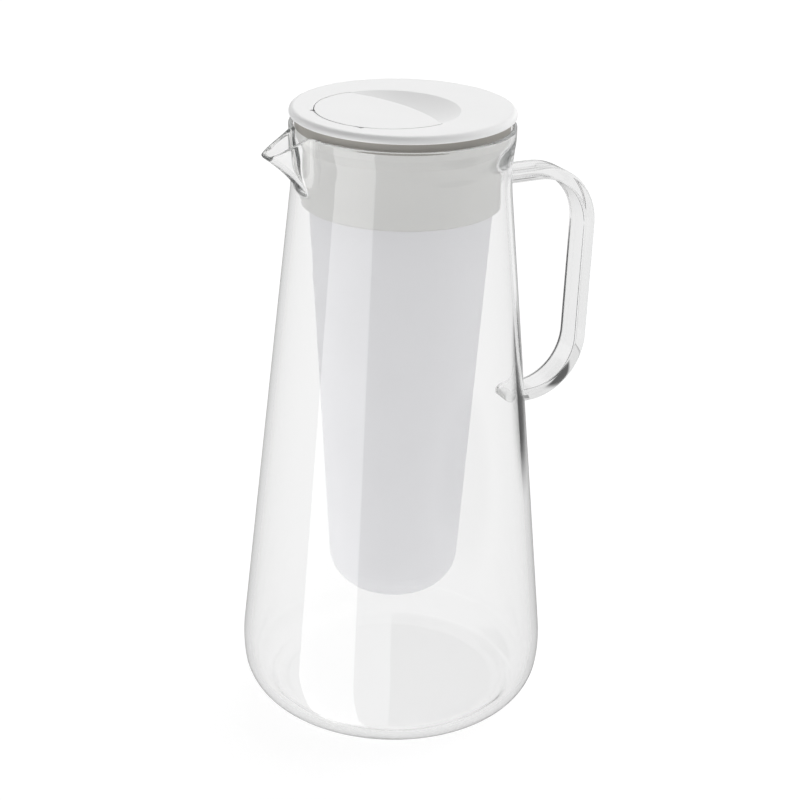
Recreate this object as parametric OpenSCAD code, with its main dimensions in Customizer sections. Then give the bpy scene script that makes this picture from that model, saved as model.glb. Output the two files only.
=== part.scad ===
// Glass water filter pitcher: a lipped jug with a welded handle, a hanging reservoir that
// holds a membrane filter and a media cartridge, and a round lid with a fill flap.
// Millimetres. Z is the jug's axis, the jug stands on z = 0, the spout points to -X and
// the handle to +X.

/* [Jug] */
// Widest outer diameter of the glass
jug_d = 134; // [124:1:144]
// Height of the glass rim
rim_z = 265; // [259:0.5:272]
// Outer diameter of the straight neck
neck_d = 92.4; // [90:0.2:95]
// Thickness of the glass wall
glass_t = 3; // [2.6:0.1:3.2]
// Thickness of the glass floor
floor_t = 5.5; // [4.5:0.5:8]
// Height of the straight neck
neck_h = 22.6; // [18:0.1:26]
// Radius of the rounded foot corner
foot_r = 20.7; // [16:0.1:24]
// Radius of the gentle belly curve above the foot corner
belly_r = 66; // [56:1:76]
// Turn of the belly curve below the widest point, in degrees
belly_turn = 7.7; // [6:0.1:9]
// Radius of the hollow curve between the wall and the neck
shoulder_r = 80; // [60:1:100]
// Width that the rim stands out of the neck
rim_bead = 1; // [0.6:0.1:1.4]
// Thickness of the glass at the rim
rim_t = 2; // [1.8:0.1:2.2]

/* [Spout] */
// Reach of the spout's tip beyond the neck
spout_reach = 17.2; // [14:0.2:20]
// Drop of the spout's tip below the rim
spout_drop = 7.9; // [6.5:0.1:9.5]
// Height from the spout's root to its tip
spout_rise = 19.2; // [17:0.2:21]
// Thickness of the glass at the spout's tip
spout_tip_t = 3.8; // [3.4:0.1:4.4]
// Distance of the lip cut's hinge line from the axis
lip_start_x = 40; // [38:0.5:42]
// Bend of the lip's cut: 1 is straight, more keeps it level for longer
lip_bend = 1.6; // [1.2:0.1:2]

/* [Handle] */
// Drop of the handle's top bar below the rim
handle_drop = 28.5; // [24:0.5:34]
// Height of the handle's lower bar
handle_low_z = 133.8; // [125:0.2:145]
// Distance of the grip's middle from the axis
handle_reach = 90.6; // [84:0.2:98]
// Lean of the grip towards the jug, in degrees
handle_lean = 1.6; // [0.5:0.1:4]
// Width of the glass strap
handle_w = 13.6; // [11:0.1:18]
// Thickness of the glass strap
handle_t = 5.6; // [5:0.1:7]
// Radius of the upper bend, at the middle of the strap
handle_top_r = 26; // [20:0.5:30]
// Radius of the lower bend, at the middle of the strap
handle_low_r = 25.5; // [20:0.5:30]
// Radius of the strap's rounded edges
handle_edge_r = 2; // [1:0.1:2.4]

/* [Reservoir] */
// Gap between the collar ring and the neck
collar_gap = 1.7; // [1.5:0.1:2.2]
// Height of the collar ring
collar_h = 30.4; // [26:0.2:34]
// Step from the collar ring in to the cup, at the collar's lower edge
collar_step = 2.9; // [2.7:0.1:3.3]
// Taper of the cup from upright, in degrees
cup_taper = 3.6; // [3.3:0.05:3.9]
// Height of the cup's underside above the table
cup_low_z = 53; // [48:0.5:56]
// Radius of the cup's rounded lower edge
cup_corner_r = 17; // [14:0.5:18.5]
// Wall thickness of the cup
cup_t = 1.8; // [1.5:0.1:2]
// Thickness of the cup's top flange
cup_flange_t = 2; // [1.6:0.1:2.4]
// Depth of the cup's top flange below the rim
flange_drop = 1.6; // [1.2:0.1:2]

/* [Seals] */
// Gap between the collar's cone and the glass it hangs on
seat_gap = 0.3; // [0.2:0.05:0.4]
// Gap between a fixed piece and the piece that holds it
fixed_gap = 0.08; // [0.05:0.01:0.12]
// Gap between pieces that slide or turn past each other
slide_gap = 0.3; // [0.25:0.05:0.4]

/* [Lid] */
// Turn of the lid on the jug, from the spout, in degrees
lid_turn = 12; // [0:1:20]
// Reach of the lid plate beyond the glass rim
lid_overhang = -0.1; // [-0.6:0.1:1]
// Thickness of the lid plate at its edge
lid_t = 3.2; // [2.9:0.1:3.6]
// Gap between the rim and the lid plate, where the seal shows
lid_gap = 3.3; // [3:0.1:4]
// Rounding of the lid plate's upper edge
lid_edge_r = 2.2; // [1.6:0.1:2.4]
// Rounding of the lid plate's lower edge
lid_under_r = 0.6; // [0.4:0.1:0.8]
// Wall of the lid's boss around its hollow underside
boss_wall = 6.5; // [5.5:0.5:7]
// Thickness of the lid under the dish
dish_floor = 1.6; // [1.2:0.1:2]
// Depth that the plug reaches below the boss
plug_h = 10; // [8:0.5:12]
// Wall of the plug
plug_t = 2.6; // [2.2:0.1:3]

/* [Flap] */
// Wall between the round dish and the side of the lid's boss
dish_margin = 2.1; // [1.6:0.1:3]
// Offset of the dish towards the spout
dish_shift = 8.2; // [7.4:0.1:8.8]
// Depth of the dish
dish_depth = 5.5; // [4.5:0.1:6]
// Distance of the flap's free edge from the dish's middle
flap_edge = 9; // [7:0.5:11]
// Radius of the flap's gently curved free edge
flap_edge_r = 80; // [60:5:120]
// Thickness of the flap
flap_t = 2.4; // [2.2:0.1:2.8]
// Radius of the fill hole under the flap
fill_r = 20; // [18:0.5:21]
// Setback of the fill hole from the flap's free edge
fill_setback = 5; // [4:0.5:7]
// Distance of the hinge from the flap's edge on the spout side
hinge_inset = 3.8; // [3.4:0.1:4.2]
// Depth of the hinge's axis below the lid's top
hinge_depth = 0.8; // [0.7:0.05:1]
// Radius of the hinge pin
pin_r = 0.4; // [0.35:0.05:0.45]
// Gap round the flap in its recess
flap_gap = 0.5; // [0.4:0.05:0.7]
// Further gap where the flap's edge swings down
swing_gap = 0.15; // [0.1:0.05:0.3]
// Running gap between the pin and the flap's bore
pin_gap = 0.06; // [0.03:0.01:0.09]
// Length of the pin held in the lid at each end
pin_hold = 4; // [3:0.5:5]

/* [Membrane] */
// Outer diameter of the membrane tube
tube_d = 48; // [46:0.5:49]
// Wall of the membrane tube
tube_t = 1.8; // [1.6:0.1:2]
// Length of the membrane tube
tube_h = 88; // [80:1:96]
// Outer radius of the outlet nozzle
nozzle_r = 7.5; // [6.5:0.1:8.5]
// Radius of the outlet's bore
outlet_r = 4; // [3:0.1:5]
// Height of the cone under the tube
cap_cone_h = 8; // [7:0.5:10]
// Thickness of the resin that holds the fibres
potting_h = 9; // [7:0.5:11]
// Radius of one fibre strand
fibre_r = 1.1; // [0.9:0.1:1.3]
// Spacing of the fibre strands
fibre_pitch = 3.6; // [3.2:0.1:4]
// Rings of strands around the middle strand
fibre_rings = 5; // [3:1:5]
// Section radius of the outlet's rubber ring
ring_r = 1.2; // [1:0.1:1.4]

/* [Cartridge] */
// Outer diameter of the cartridge
cart_d = 51; // [50:0.5:54]
// Wall of the cartridge shell
cart_t = 1.6; // [1.4:0.1:2]
// Depth of the ion exchange bed
ion_h = 18; // [14:0.5:22]
// Depth of the carbon bed
carbon_h = 22; // [18:0.5:26]
// Thickness of a media screen
screen_t = 1; // [0.8:0.1:1.2]
// Length of the spigot that plugs into the membrane tube
spigot_h = 10; // [9:0.5:12]
// Height of the cartridge cap
cart_cap_h = 4; // [3:0.5:5]
// Height of the grip bar on the cartridge cap
grip_h = 5; // [4:0.5:7]
// Section radius of the spigot's rubber ring
cart_ring_r = 0.8; // [0.7:0.05:0.9]
// Number of inlet slots on each side of the grip bar
slot_count = 4; // [3:1:4]
// Width of an inlet slot
slot_w = 1.6; // [1.2:0.1:1.8]
// Height of a bayonet lug
lug_h = 3; // [2.5:0.1:3.5]
// Angle that a bayonet lug covers
lug_deg = 16; // [12:1:20]
// Turn that locks the cartridge, in degrees
lock_turn = 60; // [45:1:70]

/* [Hidden] */
$fn = 96;
// Reach of cuts that go right through, and how far other cuts run past a face
far = 400;
over = 1;

// Heights and radii that the pieces share
rim_band_h = 4;
flare_h = 4.5;
flange_overhang = 0.9;
seal_inset = 0.5;
neck_r = neck_d / 2;
neck_in_r = neck_r - glass_t;
rim_r = neck_r + rim_bead;
mouth_r = rim_r - rim_t;
collar_d = 2 * (neck_in_r - collar_gap);
cup_d = collar_d - 2 * collar_step;
flare_top_z = rim_z - rim_band_h;
flare_low_z = flare_top_z - flare_h;
flange_top_z = rim_z - flange_drop;
collar_top_z = flange_top_z - cup_flange_t;
collar_low_z = collar_top_z - collar_h;
seal_lip_r = 1.5;
seal_r = mouth_r - seal_inset;
lid_low_z = rim_z + lid_gap;
lid_top_z = lid_low_z + lid_t;

// Points along an arc, and a list of points from its end to its start
function arc(c, r, a0, a1, n) = [for (i = [0:n])
    let (a = a0 + (a1 - a0) * i / n) [c.x + r * cos(a), c.y + r * sin(a)]];
function flip(pts) = [for (i = [len(pts) - 1:-1:0]) pts[i]];

module turned(pts) { rotate_extrude() polygon(pts); }
module ring(r_in, r_out, z0, z1) { turned([[r_in, z0], [r_out, z0], [r_out, z1], [r_in, z1]]); }
module o_ring(r, z, section_r) { rotate_extrude() translate([r, z]) circle(section_r, $fn = 32); }

// Jug: foot corner, belly, leaning wall, hollow shoulder and neck, each drawn at a depth
// below the outer skin so that the inside follows the outside
belly_z = foot_r + (belly_r - foot_r) * sin(belly_turn);
belly_c = [jug_d / 2 - belly_r, belly_z];
foot_c = belly_c + (belly_r - foot_r) * [cos(belly_turn), -sin(belly_turn)];
shoulder_c = [neck_r + shoulder_r, rim_z - neck_h];
wall_way = shoulder_c - belly_c;
wall_lean = atan2(wall_way.y, wall_way.x) - acos((belly_r + shoulder_r) / norm(wall_way));
function jug_side(depth) = concat(
    arc(foot_c, foot_r - depth, -90, -belly_turn, 12),
    arc(belly_c, belly_r - depth, -belly_turn, wall_lean, 5),
    arc(shoulder_c, shoulder_r + depth, 180 + wall_lean, 180, 4)
);
floor_blend = [2, 0.2];
inner_side = [for (p = jug_side(glass_t)) if (p.y > floor_t + floor_blend.y) p];
rim_c = [rim_r - rim_t / 2, rim_z - rim_t / 2];
jug_ring = concat(
    [[0, 0]], jug_side(0), [[neck_r, flare_low_z]],
    arc(rim_c, rim_t / 2, 0, 180, 8), [[mouth_r, flare_top_z], [neck_in_r, flare_low_z]],
    flip(inner_side), [[inner_side[0].x - floor_blend.x, floor_t], [0, floor_t]]
);

// Spout: a sector of the neck whose circle is drawn out, at each height, to a rounded beak.
// Its edges are let a little way into the neck's glass all round.
spout_tip_z = rim_z - spout_drop;
spout_root_z = spout_tip_z - spout_rise;
spout_half_deg = 56;
spout_let_deg = 2;
spout_let_z = 2;
spout_skin = 0.25;
spout_sides = 16;
spout_round_deg = 5;
spout_power = 1.5;
function spout_tip_x(z) =
    neck_r + spout_reach * pow(max(0, z - spout_root_z) / spout_rise, spout_power);
function beak_r(base, tip, a) = let (turn = tip > base ? acos(base / tip) + spout_round_deg : 0)
    base / cos(max(0, turn - sqrt(a * a + spout_round_deg * spout_round_deg)));
function beak_curve(base, tip) = [for (i = [0:spout_sides])
    let (a = (spout_half_deg + spout_let_deg) * (2 * i / spout_sides - 1))
    beak_r(base, tip, a) * [-cos(a), -sin(a)]];
// Each level is a height with the outer and the inner radius of the plain neck there
neck_levels = 6;
spout_low_z = spout_root_z - spout_let_z;
spout_levels = concat(
    [for (k = [0:neck_levels])
        [spout_low_z + (flare_low_z - spout_low_z) * k / neck_levels, neck_r, neck_in_r]],
    [[flare_top_z, rim_r, mouth_r], [rim_z - rim_t / 3, rim_r, mouth_r]]
);
function beak_section(level) = let (tip = spout_tip_x(level[0]) - spout_skin)
    concat(
        beak_curve(level[1] - spout_skin, tip),
        flip(beak_curve(level[2] + spout_skin, tip - spout_tip_t))
    );
// A closed skin over rings of points, with each end closed by a strip across the ring
module rings_solid(rings) {
    n = len(rings[0]);
    last = (len(rings) - 1) * n;
    skin = [for (k = [0:len(rings) - 2]) for (i = [0:n - 1])
        let (a = k * n + i, b = k * n + (i + 1) % n) each [[a, a + n, b], [b, a + n, b + n]]];
    strip = [for (i = [0:n / 2 - 2]) let (j = n - 1 - i) each [[i, i + 1, j], [i + 1, j - 1, j]]];
    far_strip = [for (t = strip) [last + t[2], last + t[1], last + t[0]]];
    polyhedron([for (r = rings) each r], concat(skin, strip, far_strip));
}
module spout_shell() {
    rings_solid([for (l = spout_levels) [for (p = beak_section(l)) [p.x, p.y, l[0]]]]);
}
module spout_window() {
    side = far * [-cos(spout_half_deg), sin(spout_half_deg)];
    translate([0, 0, spout_root_z]) linear_extrude(far)
        polygon([[0, 0], [side.x, -side.y], [-far, 0], side]);
}
module lip_cut() {
    run = neck_r + spout_reach - lip_start_x;
    past = 2;
    n = 16;
    cut = [for (i = [0:n]) let (t = past * i / n)
        [-lip_start_x - run * t, rim_z - spout_drop * pow(t, lip_bend)]];
    rotate([90, 0, 0]) linear_extrude(far, center = true)
        polygon(concat(cut, [[cut[n].x, far], [-lip_start_x, far]]));
}

module jug_body() {
    color([0.9, 0.94, 0.95, 0.35]) {
        difference() {
            turned(jug_ring);
            spout_window();
        }
        difference() {
            spout_shell();
            lip_cut();
        }
    }
}

// Handle: a flat strap along the top, round, down the grip, round and back to the wall
handle_top_z = rim_z - handle_drop;
grip_normal = [cos(handle_lean), -sin(handle_lean)];
grip_down = [-sin(handle_lean), -cos(handle_lean)];
top_bend_c = [handle_reach - handle_top_r, handle_top_z - handle_top_r];
bend_drop = (handle_top_r - handle_low_r) * sin(handle_lean);
grip_len = (top_bend_c.y - handle_low_z - handle_low_r - bend_drop) / cos(handle_lean);
low_bend_c = top_bend_c + (handle_top_r - handle_low_r) * grip_normal + grip_len * grip_down;
bend_steps = 12;
// Stations along the strap: the middle of the strap and the direction of its outer face
function bend_stations(c, r, a0, a1) = [for (i = [0:bend_steps])
    let (a = a0 + (a1 - a0) * i / bend_steps) [c + r * [cos(a), sin(a)], a]];
strap_stations = concat(
    [[[neck_in_r, handle_top_z], 90]], bend_stations(top_bend_c, handle_top_r, 90, -handle_lean),
    bend_stations(low_bend_c, handle_low_r, -handle_lean, -90), [[[neck_in_r, handle_low_z], -90]]
);
strap_corner = [handle_t / 2 - handle_edge_r, handle_w / 2 - handle_edge_r];
strap_section = concat(
    arc(strap_corner, handle_edge_r, 0, 90, 4),
    arc([-strap_corner.x, strap_corner.y], handle_edge_r, 90, 180, 4),
    arc(-strap_corner, handle_edge_r, 180, 270, 4),
    arc([strap_corner.x, -strap_corner.y], handle_edge_r, 270, 360, 4)
);
module handle() {
    color([0.9, 0.94, 0.95, 0.35]) difference() {
        rings_solid([for (s = strap_stations) [for (p = strap_section)
            [s[0].x + p.x * cos(s[1]), p.y, s[0].y + p.x * sin(s[1])]]]);
        turned(concat([[0, 0]], jug_side(-fixed_gap), [[neck_r + fixed_gap, rim_z], [0, rim_z]]));
    }
}

// Reservoir: a tapered cup whose flange lies in the collar, a collar whose cone hangs in the
// flared mouth, and a seal with a rib let into the collar's top
cup_k = cos(cup_taper) * cup_d / 2 - sin(cup_taper) * collar_low_z;
function cup_r(z, depth) = (cup_k - depth + sin(cup_taper) * z) / cos(cup_taper);
cup_corner_z = cup_low_z + cup_corner_r;
cup_c = [cup_r(cup_corner_z, cup_corner_r), cup_corner_z];
cup_floor_z = cup_low_z + cup_t;
flange_r = collar_d / 2 + flange_overhang;
flare_slope = (mouth_r - neck_in_r) / flare_h;
cone_gap = seat_gap / cos(atan(flare_slope));
cone_top_z = flare_low_z + (seal_r + cone_gap - neck_in_r) / flare_slope;
rib_r = (flange_r + seal_r) / 2;
rib_half = 0.45;
rib_low_z = flange_top_z - 1.2;

module reservoir_collar() {
    edge = 0.6;
    groove_half = rib_half + fixed_gap;
    groove_low_z = rib_low_z - fixed_gap;
    color([0.77, 0.77, 0.76]) turned([
        [cup_r(collar_low_z, -fixed_gap), collar_low_z], [collar_d / 2 - edge, collar_low_z],
        [collar_d / 2, collar_low_z + edge], [collar_d / 2, flare_low_z],
        [neck_in_r - cone_gap, flare_low_z], [seal_r, cone_top_z], [seal_r, flange_top_z],
        [rib_r + groove_half, flange_top_z], [rib_r + groove_half, groove_low_z],
        [rib_r - groove_half, groove_low_z], [rib_r - groove_half, flange_top_z],
        [flange_r + fixed_gap, flange_top_z], [flange_r + fixed_gap, collar_top_z],
        [cup_r(collar_top_z, -fixed_gap), collar_top_z]
    ]);
}
module reservoir_cup() {
    hole_r = nozzle_r + slide_gap;
    color([0.81, 0.81, 0.82]) turned(concat(
        [[hole_r, cup_low_z]], arc(cup_c, cup_corner_r, -90, -cup_taper, 10),
        [[cup_r(collar_top_z, 0), collar_top_z], [flange_r, collar_top_z], [flange_r, flange_top_z]],
        [[cup_r(flange_top_z, cup_t), flange_top_z]],
        arc(cup_c, cup_corner_r - cup_t, -cup_taper, -90, 10), [[hole_r, cup_floor_z]]
    ));
}
module collar_seal() {
    color([0.55, 0.54, 0.52]) turned([
        [flange_r - seal_lip_r, flange_top_z], [rib_r - rib_half, flange_top_z],
        [rib_r - rib_half, rib_low_z], [rib_r + rib_half, rib_low_z],
        [rib_r + rib_half, flange_top_z], [seal_r, flange_top_z],
        [seal_r, lid_low_z], [flange_r - seal_lip_r, lid_low_z]
    ]);
}

// Membrane filter: a nozzle through the cup's floor, a cone, and a tube of fibres
tube_r = tube_d / 2;
tube_in_r = tube_r - tube_t;
face_ring_r = nozzle_r + ring_r + 1.4;
cap_low_z = cup_floor_z + seat_gap + 2 * ring_r;
tube_low_z = cap_low_z + cap_cone_h;
tube_top_z = tube_low_z + tube_h;
cap_rim_h = 4;
potting_low_z = tube_low_z + cap_rim_h;
spigot_low_z = tube_top_z - spigot_h;
lug_z = tube_top_z - spigot_h / 2 - lug_h / 2;
spigot_r = tube_in_r - slide_gap;
lug_inset = 0.4;
lug_r = tube_r - lug_inset;
cap_t = 2;
ring_land = 0.6;

module membrane_cap() {
    neck = face_ring_r + ring_r + ring_land;
    color([0.86, 0.87, 0.88]) turned([
        [outlet_r, cup_low_z], [nozzle_r, cup_low_z], [nozzle_r, cap_low_z], [neck, cap_low_z],
        [tube_r, tube_low_z], [tube_in_r - fixed_gap, tube_low_z], [tube_in_r - fixed_gap, potting_low_z],
        [tube_in_r - tube_t, potting_low_z], [tube_in_r - tube_t, tube_low_z],
        [outlet_r, cap_low_z + cap_t]
    ]);
}
module wedge(r, a0, a1, z0, z1) {
    translate([0, 0, z0]) rotate([0, 0, a0]) rotate_extrude(angle = a1 - a0) square([r, z1 - z0]);
}
module lug_slots(gap) {
    half_deg = lug_deg / 2 + gap / tube_r * 180 / PI;
    spare_deg = 2;
    for (side = [0, 180]) {
        wedge(tube_d, side - half_deg, side + lock_turn + half_deg + spare_deg,
            lug_z - gap, lug_z + lug_h + gap);
        wedge(tube_d, side + lock_turn - half_deg, side + lock_turn + half_deg, lug_z, tube_top_z + over);
    }
}
module membrane_tube() {
    color([0.84, 0.85, 0.87]) difference() {
        ring(tube_in_r, tube_r, tube_low_z, tube_top_z);
        lug_slots(slide_gap);
    }
}
module potting_plug() {
    color([0.93, 0.86, 0.66]) translate([0, 0, potting_low_z])
        cylinder(r = tube_in_r - fixed_gap, h = potting_h);
}
module fibre_bundle() {
    end_gap = 4;
    wall_gap = 0.5;
    low_z = potting_low_z + potting_h;
    height = spigot_low_z - end_gap - low_z;
    span = tube_in_r - fibre_r - wall_gap;
    spots = [for (i = [-fibre_rings:fibre_rings]) for (j = [-fibre_rings:fibre_rings])
        let (p = fibre_pitch * [i + j / 2, j * sqrt(3) / 2])
        if (abs(i + j) <= fibre_rings && norm(p) < span) p];
    color([0.97, 0.97, 0.95]) for (p = spots)
        translate([p.x, p.y, low_z]) cylinder(r = fibre_r, h = height, $fn = 24);
}
module outlet_o_ring() {
    color([0.2, 0.2, 0.2]) o_ring(face_ring_r, cap_low_z - ring_r - fixed_gap, ring_r);
}

// Media cartridge: a shell on the membrane tube, two beds between screens, and a slotted cap
cart_r = cart_d / 2;
cart_in_r = cart_r - cart_t;
media_r = cart_in_r - fixed_gap;
shell_low_z = tube_top_z + slide_gap;
shell_floor_t = 2;
shell_floor_z = shell_low_z + shell_floor_t;
ion_low_z = shell_floor_z + screen_t;
divider_z = ion_low_z + ion_h;
carbon_low_z = divider_z + screen_t;
inlet_z = carbon_low_z + carbon_h;
cart_top_z = inlet_z + screen_t;
spigot_t = 3;
groove_z = spigot_low_z + cart_ring_r + ring_land;
groove_r = spigot_r - 2 * cart_ring_r;
drain_r = 3;
screen_hole_r = 0.9;
screen_pitch = 3.4;
screen_rings = 6;

module cartridge_shell() {
    spigot_in_r = spigot_r - spigot_t;
    color([0.88, 0.89, 0.9]) difference() {
        union() {
            turned([
                [0, shell_low_z], [cart_r, shell_low_z], [cart_r, cart_top_z],
                [cart_in_r, cart_top_z], [cart_in_r, shell_floor_z], [0, shell_floor_z]
            ]);
            ring(spigot_in_r, spigot_r, spigot_low_z, shell_low_z + over);
            for (side = [0, 180]) difference() {
                wedge(lug_r, side - lug_deg / 2, side + lug_deg / 2, lug_z, lug_z + lug_h);
                translate([0, 0, lug_z - over]) cylinder(r = spigot_r - over, h = lug_h + 2 * over);
            }
        }
        for (k = [0:5]) rotate([0, 0, 60 * k]) translate([spigot_in_r / 2, 0, shell_low_z - over])
            cylinder(r = drain_r, h = shell_floor_t + 2 * over, $fn = 32);
        translate([0, 0, groove_z]) ring(groove_r, cart_r, -cart_ring_r - fixed_gap, cart_ring_r + fixed_gap);
    }
}
module screen(z) {
    color([0.78, 0.79, 0.8]) translate([0, 0, z]) difference() {
        cylinder(r = media_r, h = screen_t);
        for (k = [1:screen_rings]) for (i = [0:6 * k - 1])
            rotate([0, 0, i * 60 / k]) translate([k * screen_pitch, 0, -over])
                cylinder(r = screen_hole_r, h = screen_t + 2 * over, $fn = 24);
    }
}
module outlet_screen() { screen(shell_floor_z); }
module divider_screen() { screen(divider_z); }
module inlet_screen() { screen(inlet_z); }
module ion_exchange_bed() {
    color([0.83, 0.66, 0.36]) translate([0, 0, ion_low_z]) cylinder(r = media_r, h = ion_h);
}
module carbon_bed() {
    color([0.12, 0.12, 0.13]) translate([0, 0, carbon_low_z]) cylinder(r = media_r, h = carbon_h);
}
module cartridge_cap() {
    grip_t = 5;
    edge = 3;
    first_slot_y = grip_t / 2 + 2;
    slot_pitch = (cart_r - edge - first_slot_y) / slot_count;
    color([0.9, 0.91, 0.92]) translate([0, 0, cart_top_z]) difference() {
        union() {
            cylinder(r = cart_r, h = cart_cap_h);
            translate([edge - cart_r, -grip_t / 2, cart_cap_h - over])
                cube([cart_d - 2 * edge, grip_t, grip_h + over]);
        }
        for (side = [-1, 1]) for (k = [0:slot_count - 1]) {
            y = side * (first_slot_y + k * slot_pitch);
            half = sqrt(pow(cart_r - edge, 2) - y * y);
            translate([-half, y - slot_w / 2, -over]) cube([2 * half, slot_w, cart_cap_h + 2 * over]);
        }
    }
}
module cartridge_o_ring() {
    color([0.2, 0.2, 0.2]) o_ring(groove_r + cart_ring_r + fixed_gap, groove_z, cart_ring_r);
}

// Lid: an overhanging plate on a boss, dished for a finger, with a plug and gasket below
lid_r = rim_r + lid_overhang;
boss_side_gap = 0.6;
boss_low_gap = 0.4;
boss_r = flange_r - seal_lip_r - boss_side_gap;
boss_low_z = flange_top_z + boss_low_gap;
boss_in_r = boss_r - boss_wall;
dish_r = boss_r - dish_margin - dish_shift;
dish_sphere_r = (dish_r * dish_r + dish_depth * dish_depth) / (2 * dish_depth);
hollow_z = lid_top_z - dish_depth - dish_floor;
flap_low_z = lid_top_z - flap_t;
hinge_x = -dish_shift - dish_r + hinge_inset;
hinge_z = lid_top_z - hinge_depth;
pin_fit = 0.01;
pin_end_gap = 0.2;
plug_low_z = boss_low_z - plug_h;
plug_gap = 1;
plug_r = cup_r(plug_low_z, cup_t) - plug_gap;
gasket_h = 3;
gasket_let = 1.2;
gasket_lip_h = 1;
gasket_z = plug_low_z + plug_h / 2;
gasket_seat_r = plug_r - gasket_let;

module flap_outline(grow) {
    intersection() {
        translate([-dish_shift, 0]) circle(dish_r + grow);
        translate([flap_edge - dish_shift - flap_edge_r, 0]) circle(flap_edge_r + grow, $fn = 360);
    }
}
// Distance of the flap's round edge behind the hinge axis, at a place along the axis
function edge_behind(y) = sqrt(max(0, dish_r * dish_r - y * y)) - dish_r + hinge_inset;
// Half the length of the pocket that the flap's edge sweeps as it swings up
swing_half = sqrt(dish_r * dish_r - pow(dish_r - hinge_inset - hinge_depth - flap_gap, 2));
// A hollow turned about the hinge, down from the front, that clears the corner of the flap's edge
// that lies at a depth from the axis
module swing_hollow(depth, turn) {
    n = 12;
    gap = flap_gap + swing_gap;
    ys = [for (i = [-n:n]) swing_half * i / n];
    translate([hinge_x, 0, hinge_z]) rotate([-90, 0, 0]) rotate_extrude(angle = turn) polygon(concat(
        [[0, -swing_half]],
        [for (y = ys) [norm([max(0, edge_behind(y)), depth]) + gap, y]],
        [[0, swing_half]]
    ));
}
module hinge_bore(r, half) {
    translate([hinge_x, -half, hinge_z]) rotate([-90, 0, 0]) cylinder(r = r, h = 2 * half, $fn = 32);
}
module on_lid() { rotate([0, 0, lid_turn]) children(); }
module lid_plate() {
    color([0.93, 0.93, 0.93]) on_lid() difference() {
        turned(concat(
            [[0, hollow_z], [boss_in_r, hollow_z], [boss_in_r, boss_low_z]],
            [[boss_r, boss_low_z], [boss_r, lid_low_z]],
            arc([lid_r - lid_under_r, lid_low_z + lid_under_r], lid_under_r, -90, 0, 4),
            arc([lid_r - lid_edge_r, lid_top_z - lid_edge_r], lid_edge_r, 0, 90, 8),
            [[0, lid_top_z]]
        ));
        translate([-dish_shift, 0, lid_top_z - dish_depth + dish_sphere_r])
            sphere(dish_sphere_r, $fn = 200);
        translate([0, 0, flap_low_z - fixed_gap]) linear_extrude(far) flap_outline(flap_gap);
        translate([0, 0, hollow_z - over]) linear_extrude(far) intersection() {
            translate([-dish_shift, 0]) circle(fill_r);
            translate([flap_edge - fill_setback - dish_shift - far, -far / 2]) square([far, far]);
        }
        swing_hollow(hinge_depth, 360);
        swing_hollow(flap_t - hinge_depth, 180);
        hinge_bore(pin_r + pin_fit, swing_half + pin_hold);
    }
}
module lid_plug() {
    groove_half = gasket_h / 2 + fixed_gap;
    color([0.62, 0.61, 0.59]) turned([
        [plug_r - plug_t, plug_low_z], [plug_r, plug_low_z],
        [plug_r, gasket_z - groove_half], [gasket_seat_r, gasket_z - groove_half],
        [gasket_seat_r, gasket_z + groove_half], [plug_r, gasket_z + groove_half],
        [plug_r, boss_low_z], [plug_r - plug_t, boss_low_z]
    ]);
}
module lid_gasket() {
    in_r = gasket_seat_r + fixed_gap;
    out_r = cup_r(gasket_z - gasket_h / 2, cup_t) - slide_gap;
    color([0.45, 0.45, 0.44]) translate([0, 0, gasket_z]) turned([
        [in_r, -gasket_h / 2], [plug_r, -gasket_h / 2], [out_r, -gasket_lip_h / 2],
        [out_r, gasket_lip_h / 2], [plug_r, gasket_h / 2], [in_r, gasket_h / 2]
    ]);
}
module flap_hinge_pin() {
    color([0.75, 0.76, 0.78]) on_lid() hinge_bore(pin_r, swing_half + pin_hold - pin_end_gap);
}
module fill_flap() {
    color([0.95, 0.95, 0.95]) on_lid() difference() {
        translate([0, 0, flap_low_z]) linear_extrude(flap_t) flap_outline(0);
        hinge_bore(pin_r + pin_gap, dish_r);
    }
}

jug_body();
handle();
reservoir_collar();
reservoir_cup();
collar_seal();
membrane_cap();
membrane_tube();
potting_plug();
fibre_bundle();
outlet_o_ring();
cartridge_shell();
outlet_screen();
ion_exchange_bed();
divider_screen();
carbon_bed();
inlet_screen();
cartridge_cap();
cartridge_o_ring();
lid_plate();
lid_plug();
lid_gasket();
flap_hinge_pin();
fill_flap();
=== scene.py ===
# %% [markdown]
# A glass water filter pitcher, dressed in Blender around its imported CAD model.
#
# The CAD model is loaded first and stays where it is. Every piece made here is in metres and in
# the same frame: Z is the jug's axis, the jug stands on z = 0, the spout points to -X and the
# handle to +X.

# %% Load the frame
import math

import bmesh
import bpy
import numpy as np
from mathutils import Matrix, Vector


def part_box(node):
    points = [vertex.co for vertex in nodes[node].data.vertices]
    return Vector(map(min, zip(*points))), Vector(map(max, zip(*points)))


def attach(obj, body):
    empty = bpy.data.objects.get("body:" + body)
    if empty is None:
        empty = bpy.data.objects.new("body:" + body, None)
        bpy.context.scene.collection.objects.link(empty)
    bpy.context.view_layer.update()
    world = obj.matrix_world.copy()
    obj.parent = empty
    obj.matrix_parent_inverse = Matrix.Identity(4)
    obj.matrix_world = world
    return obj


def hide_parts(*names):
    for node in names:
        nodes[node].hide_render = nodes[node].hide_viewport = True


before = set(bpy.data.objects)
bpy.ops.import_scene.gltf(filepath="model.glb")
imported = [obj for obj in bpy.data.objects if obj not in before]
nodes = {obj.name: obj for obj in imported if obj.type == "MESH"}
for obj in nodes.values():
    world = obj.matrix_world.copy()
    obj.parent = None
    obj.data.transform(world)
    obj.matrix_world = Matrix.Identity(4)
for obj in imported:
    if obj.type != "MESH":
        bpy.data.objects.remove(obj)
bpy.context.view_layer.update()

MM = 0.001

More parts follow.
